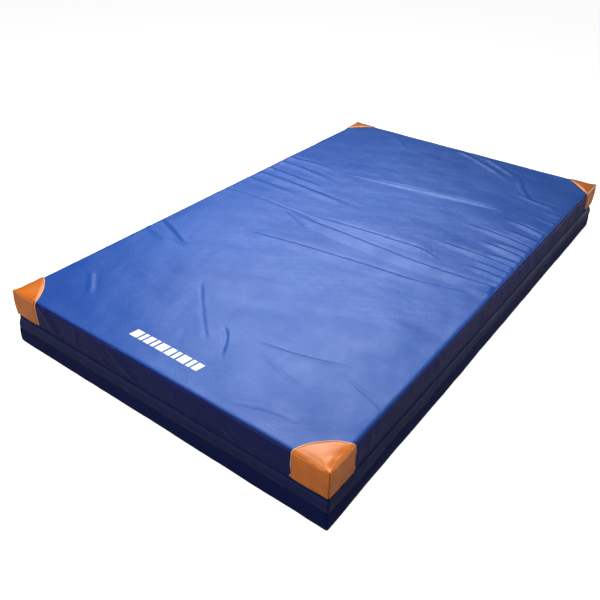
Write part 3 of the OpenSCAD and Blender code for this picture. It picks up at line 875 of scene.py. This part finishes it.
def flap(side):
    run = HALF_RUN[side]
    ends = (-run + FLAP_END, run) if side == FRONT else (-run, run - FLAP_END)
    name = f"flap_{SIDES[side]}"
    # The flap and its turned edge take the lighter copy of the navy cloth: painted light on the flap.
    piece = thicken(grid_piece(name + "_cloth", flap_points(side, ends)[::-1], LIT_FLAP_NAVY), FLAP_T)
    finish_piece(piece, "navy_pvc", name, name)
    doubled = flap_points(side, ends, 0.87, 1.0, 0.0006)[::-1]
    turned = thicken(grid_piece(name + "_turned_edge", doubled, LIT_FLAP_NAVY), 0.0006)
    finish_piece(turned, "navy_pvc", name)
    line = flap_points(side, ends, 0.895, 0.905, 0.0007)[0]
    rows = [(line, np.tile(outward(side), (len(line), 1)))]
    finish_piece(stitches(name + "_stitches", rows, NAVY_THREAD), "navy_pvc", name)


def round_corner(front_x, right_y, inset, radius, turn):
    """A line in plan along the front wall, round its corner at the angles turn and along the right
    wall, at a depth inside both, and the outward direction along it."""
    w, l = HALF_W - inset, HALF_L - inset
    out = np.stack([np.sin(turn), -np.cos(turn)], 1)
    line = np.vstack([
        np.stack([front_x, 0 * front_x - l], 1),
        np.array([w - radius, -l + radius]) + radius * out,
        np.stack([0 * right_y + w, right_y], 1),
    ])
    away = np.vstack([np.tile([0, -1], (len(front_x), 1)), out, np.tile([1, 0], (len(right_y), 1))])
    return line, away


def strip_round_corner(low, high, out):
    """Points of a strip sewn on the front wall, round the corner and along the right wall."""
    r = 0.005
    line, away = round_corner(steps(-HALF_W + FLAP_END, HALF_W - r, FLAP_CELL),
                              steps(-HALF_L + r, HALF_L - FLAP_END, FLAP_CELL),
                              0.0, r, np.linspace(0, math.pi / 2, 9)[1:-1])
    rows = []
    for z in steps(low, high, 0.0015):
        bow = out * math.sin(math.pi * (0.15 + 0.7 * (z - low) / (high - low)))
        rows.append(np.column_stack([line + away * bow, np.full(len(line), z)]))
    return np.array(rows), np.column_stack([away, 0 * line[:, :1]])


def gussets():
    """Cloth that closes the wall between the zip's ends and the far corners."""
    lap, overlap, end = 0.004, 0.008, 0.001  # over the tapes' edges, over their ends, and off the corners
    near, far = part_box("zip_tape_upper")
    low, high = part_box("zip_tape_lower")[0].z - lap, far.z + lap
    for side, ends in ((FRONT, (-HALF_W + end, near.x + overlap)), (RIGHT, (far.y - overlap, HALF_L - end))):
        u, z = np.meshgrid(steps(*ends, 0.003), steps(low, high, 0.002))
        dimple = 0.0006 * ripple(u, z, 0.02, 150 + side)
        points = wall_point(side, u, z) - outward(side) * (0.0021 + dimple)[..., None]
        piece = thicken(grid_piece(f"zip_gusset_{SIDES[side]}", points, NAVY), 0.0008)
        finish_piece(piece, "navy_pvc")


def flap_hem():
    low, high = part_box("flap_hem")[0].z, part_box("flap_hem")[1].z
    points, away = strip_round_corner(low, high, 0.0018)
    piece = cloth_piece("flap_hem_cloth", points, NAVY, "navy_pvc", "flap_hem")
    line = points[len(points) // 2]
    finish_piece(stitches("flap_hem_stitches", [(line + away * 0.0001, away)], NAVY_THREAD), "navy_pvc")
    return piece


# ---------------------------------------------------------------- zip
def zip_teeth():
    """Two rows of moulded teeth that mesh with each other: a shank, a neck and a wider head on each."""
    pitch, inset = 0.040 / 11, 0.0015  # a whole number of teeth in both sliders' runs
    start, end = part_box("zip_teeth_upper")[0].x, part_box("zip_teeth_upper")[1].y
    r = CHAIN_R - inset
    line, away = round_corner(np.array([start, HALF_W - inset - r - 0.001]),
                              np.array([-(HALF_L - inset) + r + 0.001, end]),
                              inset, r, np.linspace(0, math.pi / 2, 13))
    both, at = spaced(np.hstack([line, away]), 0.002)
    # Share of the way from root to tip, half width along the chain, half depth.
    outline = ((0.0, 0.0011, 0.0009), (0.08, 0.0013, 0.0014), (0.42, 0.0010, 0.0014), (0.60, 0.0007, 0.0012),
               (0.74, 0.0011, 0.0013), (0.92, 0.0011, 0.0012), (1.0, 0.0007, 0.0008))
    section = ((-1, -0.6), (-0.7, -1), (0.7, -1), (1, -0.6), (1, 0.6), (0.7, 1), (-0.7, 1), (-1, 0.6))
    for row, up in (("upper", 1), ("lower", -1)):
        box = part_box(f"zip_teeth_{row}")
        root = box[1].z if up > 0 else box[0].z
        tip = ZIP_Z - up * 0.0009
        points, faces = [], []
        for c in np.arange(pitch / 2 + (0 if up > 0 else pitch / 2), at[-1] - pitch / 2, pitch):
            x, y, nx, ny = (np.interp(c, at, both[:, k]) for k in range(4))
            n = np.array([nx, ny, 0]) / math.hypot(nx, ny)
            along = np.array([-n[1], n[0], 0])
            faces += tube_faces(len(outline), len(section), len(section) * len(points), up > 0)
            for share, wide, deep in outline:
                middle = np.array([x, y, root + (tip - root) * share])
                points.append([middle + along * wide * a + n * deep * b for a, b in section])
        piece = make(f"zip_teeth_{row}_moulded", points, faces, TEETH, smooth=False)
        finish_piece(piece, "zip_teeth", "mat", f"zip_teeth_{row}")


def dress_frame():
    """Materials for the CAD nodes that stay in view."""
    for nodes, material in (
        (("zip_tape_upper", "zip_tape_lower"), TAPE),
        (("zip_end_stops", "slider_front", "slider_right", "pull_front", "pull_right"), METAL),
    ):
        for node in nodes:
            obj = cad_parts[node]
            obj.data.materials.clear()
            obj.data.materials.append(material)


# ---------------------------------------------------------------- carrying handles on the left wall
def left_wall(y, z, out):
    """Points out from the left wall's cloth, and the outward directions."""
    points, n = cover_point(wall_point(LEFT, -y, z), upper_relief(LEFT, -y, z))
    return points + n * np.asarray(out)[..., None], n


def pad_outline(half_y, half_z, corner, count=12):
    """Points round a rectangle with round corners, as (y, z)."""
    turn = np.linspace(0, math.pi / 2, count)
    quarter = np.stack([np.cos(turn), np.sin(turn)], 1)
    parts = []
    for k, (sy, sz) in enumerate(((1, 1), (-1, 1), (-1, -1), (1, -1))):
        q = quarter if k % 2 == 0 else quarter[::-1]
        parts.append(np.array([sy, sz]) * (np.array([half_y, half_z]) - corner + corner * q))
    ring = np.vstack(parts)
    return np.vstack([ring, ring[:1]])


def sewn_pad(middle, half_y, half_z, corner, out, thick):
    """Points of a flat pad on the left wall: a grid squeezed into a round-cornered rectangle."""
    s, t = np.meshgrid(np.linspace(-1, 1, 25), np.linspace(-1, 1, 25))
    square = np.maximum(np.abs(s), np.abs(t))
    blend = (corner / min(half_y, half_z)) * square ** 4 * 0.35
    shrink = 1 - blend + blend * square / (np.hypot(s, t) + 1e-9)
    y, z = middle + half_y * s * shrink, HANDLE_Z + half_z * t * shrink
    edge = np.clip((1 - square) * min(half_y, half_z) / (thick * 0.8), 0, 1)
    stand = out + thick * np.sqrt(1 - (1 - edge) ** 2)
    return left_wall(y, z, stand)[0]


def handle_pads():
    """The four patches with the flattened webbing ends on them, and their stitching."""
    patches, ends, rows = [], [], []
    for y, end in HANDLE_ENDS:
        middle = y + end * PATCH_Y
        patches.append(sewn_pad(middle, PATCH_L / 2, PATCH_H / 2, 0.008, 0.0001, 0.0012))
        ends.append(sewn_pad(middle, SEWN_L / 2, WEB_W / 2, 0.002, 0.0012, WEB_T))
        rows.append((pad_outline(PATCH_L / 2 - 0.003, PATCH_H / 2 - 0.003, 0.005), middle, 0.0014))
        half_y, half_z = SEWN_L / 2 - 0.005, WEB_W / 2 - 0.004
        rows.append((pad_outline(half_y, half_z, 0.0005, 3), middle, 0.0038))
        for sign in (-1, 1):
            rows.append((np.array([(-half_y, -sign * half_z), (half_y, sign * half_z)]), middle, 0.0038))
    for name, grids, material, slot, node in (
        ("handle_patches_cloth", patches, NAVY, "navy_pvc", "handle_patches"),
        ("handle_sewn_webbing", ends, WEB, "webbing", "handle_sewn_ends"),
    ):
        rows_in, cols_in = grids[0].shape[:2]
        cells = grid_faces(rows_in, cols_in)[:, ::-1]
        faces = np.vstack([cells + k * rows_in * cols_in for k in range(len(grids))])
        piece = make(name, np.vstack([g.reshape(-1, 3) for g in grids]), faces, material)
        finish_piece(thicken(piece, 0.0006), slot, "mat", node)
    threads = []
    for path, middle, out in rows:
        fine, _ = spaced(path, 0.002)
        threads.append(left_wall(fine[:, 0] + middle, fine[:, 1] + HANDLE_Z, out))
    finish_piece(stitches("handle_stitches", threads, WEB_THREAD, radius=0.0005), "webbing")


def handle_strap(which, y):
    """One loose webbing strap: narrow where it is gathered at its sewn ends, full width along the grip."""
    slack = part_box(f"handle_strap_{which}")
    droop = math.radians(45)
    reach = (-HALF_W - HANDLE_AXIS - slack[0].x - WEB_W / 2 * math.sin(droop)) / math.cos(droop)
    grip = STRAP_END - reach
    half = [(0.0005, STRAP_END), (0.25 * reach, STRAP_END - 0.16 * reach),
            (0.62 * reach, STRAP_END - 0.5 * reach), (0.93 * reach, STRAP_END - 0.92 * reach),
            (reach, grip - 0.35 * reach), (reach, 0.25 * grip)]
    path = smooth_path(half + [(a, -b) for a, b in half[::-1]], 10)
    path, at = spaced(path, 0.002)
    tangent = np.gradient(path, axis=0)
    tangent /= np.linalg.norm(tangent, axis=1)[:, None]
    from_end = np.minimum(at, at[-1] - at)
    wide = 0.004 + (WEB_W / 2 - 0.004) * ease(from_end / 0.040)
    # Round the webbing's section: place across the width, and place through its thickness.
    section = [(-1, -0.35), (-0.97, -0.5), (-0.6, -0.5), (0, -0.5), (0.6, -0.5), (0.97, -0.5), (1, -0.35),
               (1, 0.35), (0.97, 0.5), (0.6, 0.5), (0, 0.5), (-0.6, 0.5), (-0.97, 0.5), (-1, 0.35)]
    points = []
    for (out, along), (t_out, t_along), w, c in zip(path, tangent, wide, from_end):
        n = np.array([-t_along, t_out])  # away from the mat's wall
        curl = 0.0030 * ease(c / 0.06) + 0.006 * bell(c, 0.03)
        for across, deep in section:
            lift = -curl * across ** 2 + deep * WEB_T
            o, a, v = out + n[0] * lift, along + n[1] * lift, across * w
            points.append((-HALF_W - HANDLE_AXIS - (o * math.cos(droop) - v * math.sin(droop)), y + a,
                           HANDLE_Z - o * math.sin(droop) - v * math.cos(droop)))
    k = len(section)
    faces = [(i * k + j, i * k + (j + 1) % k, (i + 1) * k + (j + 1) % k, (i + 1) * k + j)
             for i in range(len(path) - 1) for j in range(k)]
    last = len(points) - 1
    faces += [tuple(range(k)), tuple(range(last, last - k, -1))]
    piece = make(f"handle_strap_{which}_webbing", points, faces, WEB)
    finish_piece(piece, "webbing", f"handle_{which}", f"handle_strap_{which}")


# ---------------------------------------------------------------- printed mark
def mark():
    """A plain row of slanted bars, where the photograph has printed words."""
    left, right, foot, height, slant = -0.145, 0.119, -0.931, 0.032, 0.006
    widths = (0.030, 0.014, 0.022, 0.014, 0.030, 0.022, 0.014, 0.030, 0.014, 0.022)
    gap = (right - left - sum(widths)) / (len(widths) - 1)
    points, faces, x0 = [], [], left
    s, t = np.meshgrid(np.linspace(0, 1, 9), np.linspace(0, 1, 11))
    for w in widths:
        x, y = x0 + w * s + slant * (t - 0.5), foot + height * t
        faces.append(grid_faces(*s.shape) + s.size * len(points))
        points.append(on_face(x, y, 0.00025).reshape(-1, 3))
        x0 += w + gap
    piece = thicken(make("printed_bars", np.vstack(points), np.vstack(faces), INK), 0.0002)
    finish_piece(piece, "blue_pvc")


# ---------------------------------------------------------------- camera, light and floor
CAMERA_AT = Vector((1.141, -1.888, 1.380))
CAMERA_AZIMUTH, CAMERA_ELEVATION, CAMERA_ROLL = (math.radians(a) for a in (35.69, 34.30, 1.60))
LENS_MM = 40.26
WORLD_GLOW, WORLD_SEEN = 0.16, 1.3  # the white surroundings' strength, on the mat and to the camera
FLOOR_GLOW, FLOOR_SEEN = 0.06, 0.9
# Lights: name, place, what it points at, size, watts, spread in degrees, and whether it lights as well
# as being reflected.
LIGHTS = (
    ("key", (-0.8, 0.1, 2.2), (-0.6, 0.1, 0.2), (1.6, 1.6), 43, 170, True),
    ("window", (-1.40, 1.57, 1.85), (0.1, -0.4, 0.2), (2.2, 1.0), 14, 130, False),
    ("strip", (-1.66, 3.44, 4.3), (0.2, -0.1, 0.2), (3.4, 0.9), 62, 130, False),
    ("front_fill", (0.3, -2.6, 2.6), (0.1, -1.0, 0.1), (2.0, 1.2), 26, 120, True),
    ("side_fill", (2.7, 0.3, 1.7), (0.6, 0.2, 0.1), (1.2, 2.4), 12, 120, True),
    ("low_front", (-1.6, -3.7, 0.55), (0.0, -1.0, 0.1), (4.2, 0.9), 14, 120, False),
    ("low_right", (3.0, 2.8, 0.50), (0.6, 0.1, 0.1), (4.2, 0.9), 20, 120, False),
)


def camera():
    data = bpy.data.cameras.new("camera")
    data.lens = LENS_MM
    data.sensor_width = 36.0
    data.clip_end = 50
    made = add_object("camera", data)
    turn = Matrix.Rotation(CAMERA_AZIMUTH, 4, "Z") @ Matrix.Rotation(math.pi / 2 - CAMERA_ELEVATION, 4, "X")
    made.matrix_world = Matrix.Translation(CAMERA_AT) @ turn @ Matrix.Rotation(CAMERA_ROLL, 4, "Z")
    bpy.context.scene.camera = made


def softbox(name, place, target, size, watts, spread, diffuse):
    data = bpy.data.lights.new(name, "AREA")
    data.shape = "RECTANGLE"
    data.size, data.size_y = size
    data.energy = watts
    data.spread = math.radians(spread)
    made = add_object(name, data)
    made.visible_diffuse = diffuse
    made.location = place
    made.rotation_euler = (Vector(target) - Vector(place)).to_track_quat("-Z", "Y").to_euler()


def studio():
    scene = bpy.context.scene
    scene.view_settings.view_transform = "Standard"
    scene.view_settings.gamma = 0.8
    scene.world = bpy.data.worlds.new("studio")
    scene.world.use_nodes = True
    world = scene.world.node_tree
    background = world.nodes["Background"]
    background.inputs["Color"].default_value = (0.80, 0.90, 1.0, 1)
    # The backdrop looks white, and lights the mat more dimly than it looks.
    path = world.nodes.new("ShaderNodeLightPath")
    seen = world.nodes.new("ShaderNodeMapRange")
    seen.inputs["To Min"].default_value = WORLD_GLOW
    seen.inputs["To Max"].default_value = WORLD_SEEN
    world.links.new(path.outputs["Is Camera Ray"], seen.inputs["Value"])
    world.links.new(seen.outputs["Result"], background.inputs["Strength"])
    for light in LIGHTS:
        softbox(*light)
    half = 9.0
    corners = np.array([(-half, -half, 0), (half, -half, 0), (half, half, 0), (-half, half, 0)])
    s = Shader("studio_floor", (0.46, 0.41, 0.37), 0.8, Specular_IOR_Level=0.2)
    s.mottle(0.98, 1.02, 2.0)
    s.bsdf.inputs["Emission Color"].default_value = (1, 1, 1, 1)
    glow = s.remap(s.node("ShaderNodeLightPath").outputs["Is Camera Ray"], FLOOR_GLOW, FLOOR_SEEN, 0, 1)
    s.link(glow, s.bsdf.inputs["Emission Strength"])
    floor = make("floor", corners, [(0, 1, 2, 3)], s.material)
    floor.location.z = -0.0005


# ---------------------------------------------------------------- everything
CROWN = simulated_crown()
camera()
studio()
landing_face()
for side in (FRONT, RIGHT, BACK, LEFT):
    upper_band(side)
    lower_band(side)
hem = flap_hem()
for side in (FRONT, RIGHT):
    flap(side)
gussets()
zip_teeth()
dress_frame()
handle_pads()
handle_strap("near", -HANDLE_Y)
handle_strap("far", HANDLE_Y)
mark()
base_cloth()
foam_block("foam_base_slab", FIRM_FOAM, "firm_foam")
foam_block("foam_top_slab", SOFT_FOAM, "foam")
for cap in (
    Cap("corner_cap_front_left", -1, -1, 0.110, 1.4, (-0.004, 0.0), (0.002, 0.001)),
    Cap("corner_cap_front_right", 1, -1, 0.112, 1.5, (0.004, 0.006), (0.003, 0.004)),
    Cap("corner_cap_back_left", -1, 1, 0.106, 1.2, (0.0, 0.0), (0.001, 0.001)),
    Cap("corner_cap_back_right", 1, 1, 0.114, 1.15, (-0.02, -0.035), (0.002, 0.001)),
):
    cap.build()
